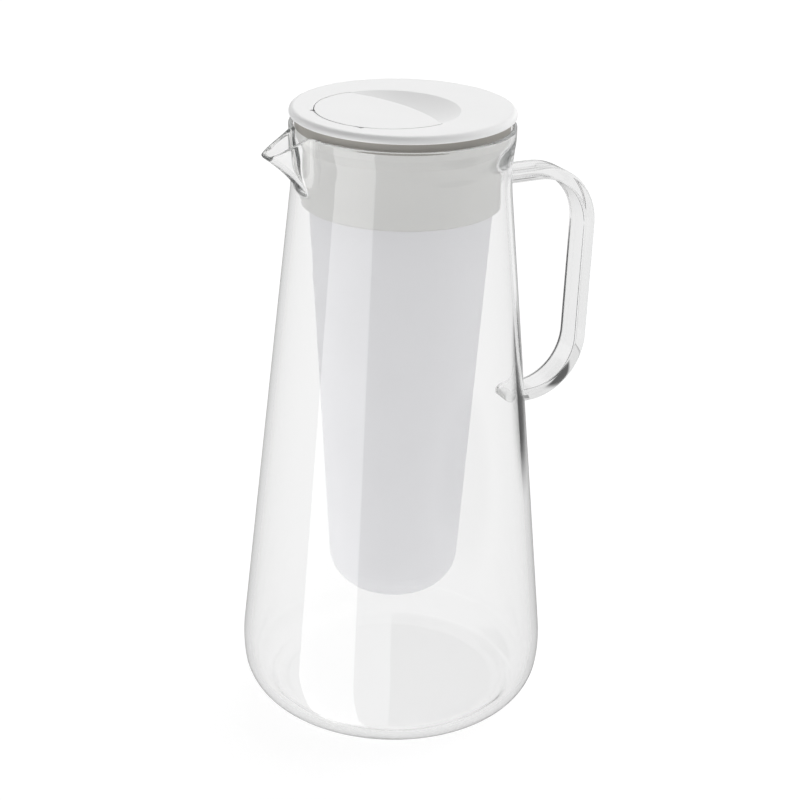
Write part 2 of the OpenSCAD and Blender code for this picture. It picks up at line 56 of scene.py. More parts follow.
# %% [markdown]
# The camera stands where the photographer's did. Its place and aim were worked out from the
# circles of the lid, the neck and the foot, which a lens draws as ellipses. The camera is turned a
# little about its own axis too, so the aim is built from three directions and not from a target.

# %% Camera
VIEW_TURN = math.radians(-28)
VIEW_HEIGHT = math.radians(23.69)
VIEW_DISTANCE = 0.9
VIEW_CENTRE_Z = 0.13
AIM_DOWN = math.radians(23.095)
AIM_SIDE = math.radians(0.109)
ROLL = math.radians(1.365)
LENS = 92.52
CLIP_START = 0.05

to_camera = Vector((math.sin(VIEW_TURN), -math.cos(VIEW_TURN), 0))
to_right = Vector((math.cos(VIEW_TURN), math.sin(VIEW_TURN), 0))


def aim_camera(camera):
    """Places the camera and turns it: down by AIM_DOWN, sideways by AIM_SIDE, then by ROLL."""
    level = -to_camera * math.cos(AIM_SIDE) + to_right * math.sin(AIM_SIDE)
    forward = level * math.cos(AIM_DOWN) - Vector((0, 0, math.sin(AIM_DOWN)))
    right = forward.cross(Vector((0, 0, 1))).normalized()
    up = right.cross(forward)
    rolled_right = right * math.cos(ROLL) + up * math.sin(ROLL)
    rolled_up = up * math.cos(ROLL) - right * math.sin(ROLL)
    turn = Matrix((rolled_right, rolled_up, -forward)).transposed()
    camera.rotation_euler = turn.to_euler()
    camera.location = to_camera * VIEW_DISTANCE * math.cos(VIEW_HEIGHT)
    camera.location.z = VIEW_CENTRE_Z + VIEW_DISTANCE * math.sin(VIEW_HEIGHT)


camera = bpy.data.objects.new("camera", bpy.data.cameras.new("camera"))
camera.data.lens = LENS
camera.data.clip_start = CLIP_START
bpy.context.scene.collection.objects.link(camera)
bpy.context.scene.camera = camera
aim_camera(camera)
print("camera at", [round(v, 3) for v in camera.location])

# %% [markdown]
# The world, the materials and the grains are all made of nodes. A few short functions make them, so
# that the steps below read as rules.

# %% Helpers
WHITE = (1, 1, 1, 1)


def node_of(tree, kind, **settings):
    """A new node with its properties set, and its inputs by name or number."""
    node = tree.nodes.new(kind)
    inputs = settings.pop("inputs", {})
    for key, value in settings.items():
        setattr(node, key, value)
    for key, value in inputs.items():
        if hasattr(value, "is_linked"):
            tree.links.new(value, node.inputs[key])
        else:
            node.inputs[key].default_value = value
    return node


def math_node(tree, operation, *values):
    """The result of a Math node on numbers or sockets."""
    node = node_of(tree, "ShaderNodeMath", operation=operation, inputs=dict(enumerate(values)))
    return node.outputs[0]


def mixed(tree, factor, first, second):
    """The first number where the factor is 0, and the second where it is 1."""
    return node_of(tree, "ShaderNodeMix", inputs={0: factor, 2: first, 3: second}).outputs[0]


def eased(tree, value, start, end, first=0.0, last=1.0):
    """A soft run from first to last, while the value goes from start to end."""
    return node_of(tree, "ShaderNodeMapRange", interpolation_type="SMOOTHSTEP",
                   inputs={0: value, 1: start, 2: end, 3: first, 4: last}).outputs[0]


def at_all(tree, depth):
    """1 if a ray has made such a bounce at all, and otherwise 0."""
    return math_node(tree, "MINIMUM", depth, 1.0)


def new_finish(name):
    """A material with its shader and an Object coordinate socket."""
    finish = bpy.data.materials.new(name)
    finish.use_nodes = True
    tree = finish.node_tree
    shader = tree.nodes["Principled BSDF"]
    place = node_of(tree, "ShaderNodeTexCoord").outputs["Object"]
    return finish, tree, shader, place


def plain_object(name, mesh):
    """An object at the origin that shows the mesh."""
    piece = bpy.data.objects.new(name, mesh)
    bpy.context.scene.collection.objects.link(piece)
    return piece


print("helpers ready")

# %% [markdown]
# Clear glass shows what is around it, so the studio is most of its look. The camera itself sees
# plain white, as in a catalogue picture. The rest is three lights, painted on the world by
# direction, so nothing stands in the way of another camera:
#
# - Surfaces in the open get light from above and behind, which shades the scoop in the lid.
# - Pieces behind the glass get a softer light, and more of it from the sides.
# - Glass shows and mirrors a pale room with a dark lower half, which greys its edges. A bright
#   strip to the left of the camera is mirrored as the pale upright band.
#
# Light runs a long way inside a glass wall, so it may bounce many times.

# %% Studio light
ALL_ROUND = (-400, 400)
BACKDROP = 1.05
GLASS_BOUNCES = 256

# Each light is a plain level and patches on it. A patch has its amount, its two angles round from
# the camera in degrees, right positive, its two heights as sines, and its soft ends. Angles stop at
# 180 degrees, so a light that goes on across the back is two patches
OPEN_LIGHT = 0.84, [
    (-0.744, ALL_ROUND, (0.5, 2), (1, 0.15)),  # darker overhead
    (3.2, (78, 400), (0.42, 0.94), (20, 0.1)),  # the main light, high behind on the right
    (3.2, (-400, -162), (0.42, 0.94), (20, 0.1)),
    (-0.68, (-40, 45), (0, 0.5), (16, 0.06)),  # darker round the camera
    (0.8, (110, 400), (0.03, 0.5), (15, 0.1)),  # paler low behind
    (0.8, (-400, -110), (0.03, 0.5), (15, 0.1)),
    (1.04, (-130, -45), (0, 0.25), (12, 0.06)),  # paler low on the left
]
INNER_LIGHT = 1.296, [
    (-0.4, ALL_ROUND, (0.5, 2), (1, 0.15)),  # darker overhead
    (0.64, (80, 400), (0.5, 2), (20, 0.15)),  # paler high behind
    (0.64, (-400, -80), (0.5, 2), (20, 0.15)),
    (-0.32, (-35, 45), (0, 0.5), (16, 0.06)),  # darker round the camera
    (0.72, (-130, -45), (0, 0.5), (12, 0.06)),  # paler on the left
    (0.64, (50, 130), (0, 0.5), (12, 0.06)),  # paler on the right
]
GLASS_VIEW = 0.8, [
    (-0.624, ALL_ROUND, (-2, 0), (1, 0.04)),  # dark lower half
    (-0.68, (-150, -105), (0.36, 0.72), (8, 0.05)),  # dark screen high on the left
    (-0.48, (168, 400), (0.36, 0.6), (8, 0.05)),  # dark screen high behind
    (2.8, (-72, -27), (-0.9, 0), (0.6, 0.05)),  # bright strip low on the left
    (0.16, (-180, -72), (-0.9, 0), (6, 0.05)),  # a little paler beside the strip
    (0.08, (112, 180), (-0.9, 0), (6, 0.05)),  # a little paler low behind on the right
]


def span(tree, value, low, high, soft):
    """A socket that is 1 where the value lies between low and high, with soft ends."""
    rise = eased(tree, value, low - soft, low + soft)
    fall = eased(tree, value, high + soft, high - soft)
    return math_node(tree, "MULTIPLY", rise, fall)


def painted(tree, turn, rise, level, patches):
    """The strength of one light in every direction."""
    light = level
    for amount, turns, heights, soft in patches:
        patch = math_node(tree, "MULTIPLY", span(tree, turn, *turns, soft[0]),
                          span(tree, rise, *heights, soft[1]))
        light = math_node(tree, "MULTIPLY_ADD", patch, amount, light)
    return light


def share_along(tree, way, axis):
    """How far a direction points along an axis."""
    return node_of(tree, "ShaderNodeVectorMath", operation="DOT_PRODUCT",
                   inputs={0: way, 1: axis}).outputs["Value"]


def paint_world():
    """A world whose light depends on the direction, and on whether glass comes between."""
    world = bpy.data.worlds.new("studio")
    world.use_nodes = True
    tree = world.node_tree
    tree.nodes.clear()
    way = node_of(tree, "ShaderNodeTexCoord").outputs["Generated"]
    around = math_node(tree, "ARCTAN2", share_along(tree, way, to_right), share_along(tree, way, to_camera))
    turn = math_node(tree, "DEGREES", around)
    rise = node_of(tree, "ShaderNodeSeparateXYZ", inputs={0: way}).outputs["Z"]
    ray = node_of(tree, "ShaderNodeLightPath").outputs
    by_glass = at_all(tree, math_node(tree, "ADD", ray["Transmission Depth"], ray["Glossy Depth"]))
    inside = mixed(tree, at_all(tree, ray["Diffuse Depth"]), painted(tree, turn, rise, *GLASS_VIEW),
                   painted(tree, turn, rise, *INNER_LIGHT))
    light = mixed(tree, by_glass, painted(tree, turn, rise, *OPEN_LIGHT), inside)
    light = mixed(tree, ray["Is Camera Ray"], light, BACKDROP)
    background = node_of(tree, "ShaderNodeBackground", inputs={"Color": WHITE, "Strength": light})
    output = tree.nodes.new("ShaderNodeOutputWorld")
    tree.links.new(background.outputs[0], output.inputs[0])
    return world


bpy.context.scene.world = paint_world()
bpy.context.scene.view_settings.view_transform = "Standard"
bpy.context.scene.cycles.max_bounces = GLASS_BOUNCES
bpy.context.scene.cycles.glossy_bounces = GLASS_BOUNCES
bpy.context.scene.cycles.transmission_bounces = GLASS_BOUNCES
patch_count = sum(len(light[1]) for light in (OPEN_LIGHT, INNER_LIGHT, GLASS_VIEW))
print("studio painted with", patch_count, "patches")

# %% [markdown]
# The floor is plain and pale, and glows as a light table does, so the foot has almost no shadow. It
# glows a little more for the pieces that it lights. Behind glass it is a little darker, which gives
# the glass a body against the white ground, and least so right under the foot. Mirrored light
# passes the floor, so glass mirrors the lower half of the painted studio instead.

# %% Floor
FLOOR_HALF = 6.0
FLOOR_GAP = 0.02 * MM
FLOOR_GREY = (0.12, 0.12, 0.12, 1)
FLOOR_ROUGH = 0.9
FLOOR_GLOW = 0.93
FLOOR_SCATTER = 0.24
FLOOR_LOSS = 0.13
FOOT_LOSS = 0.06
FOOT_SPREAD = (45 * MM, 80 * MM)
# A ray is bent twice by one piece of glass, and more often by two walls
ONE_PIECE = 2.5
ONE_PIECE_LOSS = 0.06


def flat_square(name, x, y, z, half):
    """An object with one level square."""
    corners = ((-1, -1), (1, -1), (1, 1), (-1, 1))
    mesh = bpy.data.meshes.new(name)
    mesh.from_pydata([(x + i * half, y + j * half, z) for i, j in corners], [], [(0, 1, 2, 3)])
    return plain_object(name, mesh)


def by_one_piece(tree, ray):
    """1 for a ray that has passed at most one piece of glass, and otherwise 0."""
    return math_node(tree, "LESS_THAN", ray["Transmission Depth"], ONE_PIECE)


def floor_glow(tree, place):
    """The floor's glow, by the way in which a ray has come to it."""
    ray = node_of(tree, "ShaderNodeLightPath").outputs
    away = node_of(tree, "ShaderNodeVectorMath", operation="LENGTH", inputs={0: place}).outputs["Value"]
    loss = eased(tree, away, *FOOT_SPREAD, FOOT_LOSS, FLOOR_LOSS)
    loss = math_node(tree, "MULTIPLY_ADD", by_one_piece(tree, ray), ONE_PIECE_LOSS, loss)
    loss = math_node(tree, "MULTIPLY", at_all(tree, ray["Transmission Depth"]), loss)
    seen = math_node(tree, "SUBTRACT", FLOOR_GLOW, loss)
    return mixed(tree, at_all(tree, ray["Diffuse Depth"]), seen, FLOOR_GLOW + FLOOR_SCATTER)


def make_floor():
    """A wide square floor just under the foot."""
    floor = flat_square("floor", 0, 0, -FLOOR_GAP, FLOOR_HALF)
    finish, tree, shader, place = new_finish("pale_floor")
    shader.inputs["Base Color"].default_value = FLOOR_GREY
    shader.inputs["Roughness"].default_value = FLOOR_ROUGH
    shader.inputs["Specular IOR Level"].default_value = 0
    shader.inputs["Emission Color"].default_value = WHITE
    tree.links.new(floor_glow(tree, place), shader.inputs["Emission Strength"])
    floor.data.materials.append(finish)
    floor.visible_glossy = False


make_floor()
print("floor", 2 * FLOOR_HALF, "m wide")

# %% [markdown]
# Glass on a white ground would have hardly any outline. A photographer lays dark cards round it, out
# of the picture: the edges of the glass turn the view sideways, and show the cards as thin lines.
# The cards here show only where one piece of glass mirrors the view inside itself, so they spoil no
# other view.

# %% Dark cards
CARD_Z = 0.2 * MM
CARD_CORE = 0.5
CARD_GREY = 0.06
CARD_BASE = (0, 0, 0, 1)
# Each card's place, to the right of the view and behind the jug, and its reach, all in metres
CARDS = {"card_right": (0.26, 0.36, 0.2), "card_front": (0.45, -0.24, 0.25)}


def dark_card(name, side, behind, reach):
    """A soft round patch on the floor, so far to the right of the view and so far behind the jug."""
    centre = to_right * side - to_camera * behind
    card = flat_square(name, centre.x, centre.y, CARD_Z, reach)
    finish, tree, shader, place = new_finish(name)
    shader.inputs["Base Color"].default_value = CARD_BASE
    shader.inputs["Specular IOR Level"].default_value = 0
    shader.inputs["Emission Color"].default_value = WHITE
    shader.inputs["Emission Strength"].default_value = CARD_GREY
    away = node_of(tree, "ShaderNodeVectorMath", operation="DISTANCE",
                   inputs={0: place, 1: (centre.x, centre.y, CARD_Z)}).outputs["Value"]
    ray = node_of(tree, "ShaderNodeLightPath").outputs
    turned = math_node(tree, "MULTIPLY", at_all(tree, ray["Glossy Depth"]), by_one_piece(tree, ray))
    cover = math_node(tree, "MULTIPLY", turned, eased(tree, away, reach, CARD_CORE * reach))
    tree.links.new(cover, shader.inputs["Alpha"])
    card.data.materials.append(finish)
    card.visible_camera = False
    card.visible_diffuse = False
    card.visible_glossy = False
    card.visible_shadow = False


for card_name, card_place in CARDS.items():
    dark_card(card_name, *card_place)
print(len(CARDS), "dark cards")

# %% [markdown]
# Moulded plastic is never one flat colour. Each moulding gets a faint cloudiness, a fine grain in
# its surface and a roughness that wanders a little, all read from Object coordinates in metres.

# %% Finishes of the mouldings and seals
CLOUD_SCALE = 38.0
GLOSS_SCALE = 120.0
GLOSS_SWING = 0.05
MOULD_GRAIN = 2600.0
MOULD_DEPTH = 0.006 * MM
SOFT_GRAIN = 1500.0
SOFT_DEPTH = 0.01 * MM


def cloud(tree, place, scale, detail=3.0):
    """Noise between 0 and 1, with its blotches 1 / scale metres apart."""
    noise = node_of(tree, "ShaderNodeTexNoise", inputs={"Vector": place, "Scale": scale, "Detail": detail})
    return noise.outputs["Fac"]


def between(tree, factor, low, high):
    """The factor, stretched to lie between low and high."""
    return node_of(tree, "ShaderNodeMapRange", inputs={0: factor, 3: low, 4: high}).outputs[0]


def tint(tree, factor, dark, light):
    """A colour that runs from dark to light with the factor."""
    mix = node_of(tree, "ShaderNodeMix", data_type="RGBA",
                  inputs={"Factor": factor, 6: (*dark, 1), 7: (*light, 1)})
    return mix.outputs[2]


def bump(tree, shader, height, depth):
    """Raises the surface by up to depth metres with the height socket."""
    node = node_of(tree, "ShaderNodeBump", inputs={"Height": height, "Distance": depth, "Strength": 1.0})
    tree.links.new(node.outputs[0], shader.inputs["Normal"])


def moulding(name, colour, roughness, grain=MOULD_GRAIN, depth=MOULD_DEPTH, vary=0.02):
    """Satin plastic in one colour, with a faint cloud, a fine grain and a wandering gloss."""
    finish, tree, shader, place = new_finish(name)
    dark = [c * (1 - vary) for c in colour]
    light = [min(1, c * (1 + vary)) for c in colour]
    tree.links.new(tint(tree, cloud(tree, place, CLOUD_SCALE), dark, light), shader.inputs["Base Color"])
    wander = cloud(tree, place, GLOSS_SCALE)
    gloss = between(tree, wander, roughness - GLOSS_SWING, roughness + GLOSS_SWING)
    tree.links.new(gloss, shader.inputs["Roughness"])
    bump(tree, shader, cloud(tree, place, grain, detail=2.0), depth)
    return finish


lid_plastic = moulding("lid_plastic", (0.78, 0.78, 0.78), roughness=0.42)
collar_plastic = moulding("collar_plastic", (0.76, 0.76, 0.745), roughness=0.5)
cup_plastic = moulding("cup_plastic", (0.83, 0.83, 0.85), roughness=0.5)
plug_plastic = moulding("plug_plastic", (0.36, 0.35, 0.33), roughness=0.5)
filter_plastic = moulding("filter_plastic", (0.70, 0.71, 0.73), roughness=0.45)
grey_silicone = moulding("grey_silicone", (0.34, 0.325, 0.30), roughness=0.65,
                         grain=SOFT_GRAIN, depth=SOFT_DEPTH)
black_rubber = moulding("black_rubber", (0.02, 0.02, 0.02), roughness=0.6)
print("mouldings made")

# %% [markdown]
# The jug is blown glass. Its wall is one closed skin, outside and inside, because light bends at
# every surface: a hidden face inside the glass would show. The section of the side is made of arcs
# and one straight run: foot, belly, wall and shoulder. The inner side is the same at a depth.

# %% Section of the jug
jug_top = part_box("jug_body")[1]
JUG_R = jug_top.y
RIM_Z = jug_top.z
NECK_R = 46.2 * MM
NECK_H = 22.6 * MM
SHOULDER_R = 80 * MM
BELLY_R = 66 * MM
BELLY_TURN = 7.7
FOOT_R = 20.7 * MM
WALL = 3 * MM
BASE_T = 5.5 * MM
# Rise and run of the soft corner between the inner side and the base
CORNER_RISE = 0.4 * MM
CORNER_RUN = 2.5 * MM
FOOT_STEPS = 26
BEND_STEPS = 8
WALL_STEPS = 44


def arc(centre, radius, start, end, steps):
    """Points along an arc, with its angles in degrees."""
    turns = np.radians(np.linspace(start, end, steps + 1))
    return [(centre[0] + radius * np.cos(t), centre[1] + radius * np.sin(t)) for t in turns]


def line(start, end, steps):
    """Points from start towards end, without the end itself."""
    first, way = np.array(start), np.array(end) - np.array(start)
    return [tuple(first + way * k / steps) for k in range(steps)]


belly_turn = math.radians(BELLY_TURN)
belly_c = np.array([JUG_R - BELLY_R, FOOT_R + (BELLY_R - FOOT_R) * math.sin(belly_turn)])
foot_c = belly_c + (BELLY_R - FOOT_R) * np.array([math.cos(belly_turn), -math.sin(belly_turn)])
shoulder_c = np.array([NECK_R + SHOULDER_R, RIM_Z - NECK_H])
wall_way = shoulder_c - belly_c
wall_turn = math.acos((BELLY_R + SHOULDER_R) / np.linalg.norm(wall_way))
WALL_LEAN = math.degrees(math.atan2(wall_way[1], wall_way[0]) - wall_turn)


def jug_side(depth):
    """The side from the foot to the neck, at a depth under the outer skin."""
    low = arc(foot_c, FOOT_R - depth, -90, -BELLY_TURN, FOOT_STEPS)[:-1]
    low += arc(belly_c, BELLY_R - depth, -BELLY_TURN, WALL_LEAN, BEND_STEPS)
    high = arc(shoulder_c, SHOULDER_R + depth, 180 + WALL_LEAN, 180, BEND_STEPS)
    return low[:-1] + line(low[-1], high[0], WALL_STEPS) + high


outer_side = jug_side(0)
inner_side = [p for p in jug_side(WALL) if p[1] > BASE_T + CORNER_RISE]
print("the wall leans by", round(WALL_LEAN, 2), "degrees")
print("the neck starts at height", round(outer_side[-1][1] / MM, 1), "mm")

# %% [markdown]
# The spout is drawn out of the neck while the glass is soft. At each height the round section grows
# a narrow beak. Each of its sides is a curve that leaves the rounded tip, runs inwards and bends
# into the circle. The lip slopes down from the rim to the tip.

# %% Spout rule
SPOUT_REACH = 17.2 * MM
SPOUT_DROP = 7.9 * MM
SPOUT_RISE = 19.2 * MM
SPOUT_POWER = 1.5
SPOUT_TURN = math.radians(14)
# How far the curve of a side is pulled aside at the tip, and along the circle at the root
NOSE_PULL = 9 * MM
ROOT_PULL = 6 * MM
TIP_T = 2.8 * MM
SIDE_T = 2.6 * MM
LIP_START = 48.5 * MM
SPOUT_ROOT = RIM_Z - SPOUT_DROP - SPOUT_RISE
LIP_RUN = NECK_R + SPOUT_REACH - LIP_START
# Pull that makes the curve follow a circle of radius 1
ROUND_PULL = 4 / 3 * math.tan(SPOUT_TURN / 4)


def spout_side(base, tip, along, inset):
    """One side of the beak as a Bezier curve, from the tip to the circle: out and aside.

    Without a beak, when the tip lies on the circle, the curve follows the circle.
    """
    share = np.maximum(0, tip - base) / SPOUT_REACH
    plain = ROUND_PULL * base
    nose = plain + (NOSE_PULL - inset - plain) * share
    root = plain + (ROOT_PULL - plain) * share
    end_out, end_aside = base * math.cos(SPOUT_TURN), base * math.sin(SPOUT_TURN)
    back = 1 - along
    weights = (back ** 3, 3 * along * back ** 2, 3 * along ** 2 * back, along ** 3)
    reach = np.maximum(tip, base)
    outs = (reach, reach, end_out + root * math.sin(SPOUT_TURN), end_out)
    asides = (0, nose, end_aside - root * math.cos(SPOUT_TURN), end_aside)
    return sum(w * o for w, o in zip(weights, outs)), sum(w * a for w, a in zip(weights, asides))


def tip_reach(z):
    """How far out the beak's tip is at a height."""
    return NECK_R + SPOUT_REACH * np.clip((z - SPOUT_ROOT) / SPOUT_RISE, 0, 1) ** SPOUT_POWER


print("the spout's root is at height", round(SPOUT_ROOT / MM, 1), "mm")

# %% [markdown]
# The skin is a grid. Its rows run up the outside, over the rounded rim, down the inside and across
# the base. Its columns run round the jug and crowd together on the spout. Above the spout's root the
# rows are lowered with the lip, so the spout is part of the same skin.

# %% Skin of the jug
RIM_OUT = 1 * MM
RIM_T = 2 * MM
FLARE_LOW = RIM_Z - 16 * MM
FLARE_TOP = RIM_Z - 4 * MM
HALF_COLUMNS = 128
SPOUT_COLUMNS = 48
NECK_STEPS = 41
RIM_STEPS = 14
CORNER_STEPS = 4
BASE_RINGS = 6
LIP_ROUNDS = 60

column = np.arange(-HALF_COLUMNS, HALF_COLUMNS)
column_side = np.sign(column)
column_along = np.minimum(1, np.abs(column) / SPOUT_COLUMNS)
column_share = np.maximum(0, np.abs(column) - SPOUT_COLUMNS) / (HALF_COLUMNS - SPOUT_COLUMNS)
column_turn = SPOUT_TURN + (math.pi - SPOUT_TURN) * column_share


def section(base, tip, inset):
    """The section's points in all columns, out towards the spout and aside: a beak on a circle."""
    out, aside = spout_side(base, tip, column_along, inset)
    on_spout = column_along < 1
    out = np.where(on_spout, out, base * np.cos(column_turn))
    aside = np.where(on_spout, aside, base * np.sin(column_turn))
    return np.stack([out, aside * column_side])


def rim_height():
    """Height of the rim in all columns, lowered along the sloping lip."""
    z = np.full(len(column), RIM_Z)
    for _ in range(LIP_ROUNDS):
        out = section(NECK_R + RIM_OUT, tip_reach(z), 0)[0] - LIP_START
        sloped = RIM_Z - SPOUT_DROP * np.maximum(0, out) / LIP_RUN
        z = (z + sloped) / 2
    return z


def flare(z):
    """How much of the flare is reached at a height, between 0 and 1."""
    t = np.clip((z - FLARE_LOW) / (FLARE_TOP - FLARE_LOW), 0, 1)
    return t * t * (3 - 2 * t)


def neck_rows(inside):
    """Rows up the neck: a plain height and the plain radius there."""
    heights = np.linspace(outer_side[-1][1], RIM_Z - RIM_T / 2, NECK_STEPS + 1)[1:]
    thick = WALL - (WALL - RIM_T) * flare(heights)
    return [(NECK_R + RIM_OUT * flare(z) - (t if inside else 0), z) for z, t in zip(heights, thick)]


def jug_rows():
    """All rows of the skin: plain radius, plain height, and how far across the wall it lies."""
    rows = [(r, 0.0, 0.0) for r in np.linspace(0, outer_side[0][0], BASE_RINGS + 1)[1:]]
    rows += [(r, z, 0.0) for r, z in outer_side[1:] + neck_rows(False)]
    for t in np.radians(np.linspace(0, 180, RIM_STEPS + 1))[1:-1]:
        across = (1 - math.cos(t)) / 2
        rows.append((NECK_R + RIM_OUT - RIM_T * across, RIM_Z - RIM_T / 2 * (1 - math.sin(t)), across))
    rows += [(r, z, 1.0) for r, z in reversed(inner_side + neck_rows(True))]
    last_r, last_z = inner_side[0]
    for t in np.linspace(0, 1, CORNER_STEPS + 1)[1:]:
        rows.append((last_r - CORNER_RUN * t, BASE_T + (last_z - BASE_T) * (1 - t) ** 2, 1.0))
    rows += [(r, BASE_T, 1.0) for r in np.linspace(rows[-1][0], 0, BASE_RINGS + 2)[1:-1]]
    return rows


def grid_mesh(name, rings, low_pole, high_pole):
    """A closed mesh over equal rings of points, with a fan to a pole at each end."""
    count = len(rings[0])
    points = [tuple(p) for ring in rings for p in ring] + [low_pole, high_pole]
    faces = []
    for k in range(len(rings) - 1):
        for i in range(count):
            j = (i + 1) % count
            faces.append((k * count + i, k * count + j, (k + 1) * count + j, (k + 1) * count + i))
    first, last, top = len(points) - 2, len(points) - 1, (len(rings) - 1) * count
    for i in range(count):
        j = (i + 1) % count
        faces.append((first, j, i))
        faces.append((last, top + i, top + j))
    mesh = bpy.data.meshes.new(name)
    mesh.from_pydata(points, [], faces)
    return mesh


def jug_skin():
    """The glass wall as one closed skin with its spout."""
    lip = rim_height()
    rings = []
    for r, z, across in jug_rows():
        wall = r + across * WALL
        height = np.full(len(column), z)
        tip = np.full(len(column), wall)
        if z > SPOUT_ROOT:
            height = SPOUT_ROOT + (z - SPOUT_ROOT) / (RIM_Z - SPOUT_ROOT) * (lip - SPOUT_ROOT)
            tip = np.maximum(tip_reach(height), wall)
        thin = (WALL - TIP_T) * (tip - wall) / SPOUT_REACH
        outer = section(wall, tip, 0)
        inner = section(wall - WALL, tip - WALL + thin, SIDE_T)
        out, aside = outer + (inner - outer) * across
        rings.append(np.stack([-out, -aside, height], 1))
    return grid_mesh("glass_jug", rings, (0, 0, 0), (0, 0, BASE_T))


jug_mesh = jug_skin()
print("jug skin has", len(jug_mesh.polygons), "faces")

# %% [markdown]
# The handle is a flat glass strap, bent while hot and welded to the neck and the wall. It is a
# rounded section swept along straight runs and two bends. Towards each weld the section draws in,
# as the rounded end of a hot rod does.

# %% Handle
STRAP_W = 13.6 * MM
STRAP_T = 5.6 * MM
STRAP_EDGE = 1.3 * MM
GRIP_LEAN = 1.6
TOP_BEND = 26 * MM
LOW_BEND = 25.5 * MM
HANDLE_REACH = 90.6 * MM
HANDLE_TOP = RIM_Z - 28.5 * MM
HANDLE_LOW = 133.8 * MM
WELD_DRAW = 2.2 * MM
WELD_LENGTH = 6 * MM
WELD_POWER = 1.5
WELD_DEPTH = 1.6 * MM
EDGE_STEPS = 7
STRAP_STEPS = 40
TOP_POINTS = 40
LOW_POINTS = 30
SHARP_ANGLE = math.radians(50)


def strap_section(draw):
    """The rounded section, across the thickness and across the width, drawn in by draw."""
    t, w = STRAP_T / 2 - draw, STRAP_W / 2 - draw
    edge = STRAP_EDGE - draw / 2
    points = []
    for sx, sy, start in ((1, 1, 0), (-1, 1, 90), (-1, -1, 180), (1, -1, 270)):
        points += arc((sx * (t - edge), sy * (w - edge)), edge, start, start + 90, EDGE_STEPS)
    return points


def bend(centre, radius, start, end):
    """Stations along a bend of the strap."""
    return zip(arc(centre, radius, start, end, STRAP_STEPS), np.linspace(start, end, STRAP_STEPS + 1))


def strap_path():
    """Stations along the strap: its middle in the XZ plane and the angle of its outer face."""
    lean = math.radians(GRIP_LEAN)
    normal = np.array([math.cos(lean), -math.sin(lean)])
    down = np.array([-math.sin(lean), -math.cos(lean)])
    top_c = np.array([HANDLE_REACH - TOP_BEND, HANDLE_TOP - TOP_BEND])
    bend_drop = (TOP_BEND - LOW_BEND) * math.sin(lean)
    grip = (top_c[1] - HANDLE_LOW - LOW_BEND - bend_drop) / math.cos(lean)
    low_c = top_c + (TOP_BEND - LOW_BEND) * normal + grip * down
    side_r, side_z = zip(*outer_side)
    low_end = np.interp(HANDLE_LOW, side_z, side_r) - WELD_DEPTH
    path = [((x, HANDLE_TOP), 90) for x in np.linspace(NECK_R - WELD_DEPTH, top_c[0], TOP_POINTS)[:-1]]
    path += bend(top_c, TOP_BEND, 90, -GRIP_LEAN)
    path += bend(low_c, LOW_BEND, -GRIP_LEAN, -90)
    path += [((x, HANDLE_LOW), -90) for x in np.linspace(low_c[0], low_end, LOW_POINTS)[1:]]
    return path


def strap_skin():
    """The strap as a closed skin, drawn in at both welds."""
    path = strap_path()
    places = np.array([p for p, _ in path])
    steps = np.r_[0, np.cumsum(np.linalg.norm(np.diff(places, axis=0), axis=1))]
    rings = []
    for (place, angle), s in zip(path, steps):
        near = max(0.0, 1 - min(s, steps[-1] - s) / WELD_LENGTH)
        t = math.radians(angle)
        outline = strap_section(WELD_DRAW * near ** WELD_POWER)
        rings.append([(place[0] + a * math.cos(t), b, place[1] + a * math.sin(t)) for a, b in outline])
    ends = [(places[k][0], 0, places[k][1]) for k in (0, -1)]
    return grid_mesh("strap", rings, *ends)


def outwards(mesh):
    """Turns all faces of a closed mesh outwards."""
    work = bmesh.new()
    work.from_mesh(mesh)
    bmesh.ops.recalc_face_normals(work, faces=work.faces)
    work.to_mesh(mesh)
    work.free()


def made_plain(piece, name):
    """Turns what a piece's modifiers make of it into its own plain mesh."""
    made = bpy.data.meshes.new_from_object(piece.evaluated_get(bpy.context.evaluated_depsgraph_get()))
    piece.modifiers.clear()
    piece.data = made
    made.name = name


def welded(name, first, second):
    """One closed skin from two that pass into each other."""
    outwards(first)
    outwards(second)
    base, tool = plain_object(name, first), plain_object(name + "_tool", second)
    join = base.modifiers.new("weld", "BOOLEAN")
    join.operation = "UNION"
    join.solver = "EXACT"
    join.object = tool
    made_plain(base, name)
    bpy.data.objects.remove(tool)
    return base


glass_jug = welded("glass_jug", jug_mesh, strap_skin())
glass_jug.data.shade_smooth()
glass_jug.data.set_sharp_from_angle(angle=SHARP_ANGLE)
print("jug and handle welded:", len(glass_jug.data.polygons), "faces")

# %% [markdown]
# Clear glass has no colour of its own on its surface. It bends light, mirrors a little, and takes a
# trace of light away with depth. Faint waves are left by the blowing.

# %% Glass
GLASS_IOR = 1.47
GLASS_TINT = (0.60, 0.615, 0.61, 1)
GLASS_DENSITY = 1.5
WAVE_STRETCH = (1, 1, 0.35)
WAVE_SCALE = 22.0
WAVE_DEPTH = 0.02 * MM


def blown_glass():
    """Clear glass with a trace of absorption and faint upright waves."""
    finish, tree, shader, place = new_finish("clear_glass")
    shader.inputs["Base Color"].default_value = WHITE
    shader.inputs["Roughness"].default_value = 0
    shader.inputs["IOR"].default_value = GLASS_IOR
    shader.inputs["Transmission Weight"].default_value = 1
    waves = node_of(tree, "ShaderNodeMapping", inputs={"Vector": place, "Scale": WAVE_STRETCH}).outputs[0]
    bump(tree, shader, cloud(tree, waves, WAVE_SCALE, detail=1.0), WAVE_DEPTH)
    depth = node_of(tree, "ShaderNodeVolumeAbsorption",
                    inputs={"Color": GLASS_TINT, "Density": GLASS_DENSITY})
    tree.links.new(depth.outputs[0], tree.nodes["Material Output"].inputs["Volume"])
    return finish


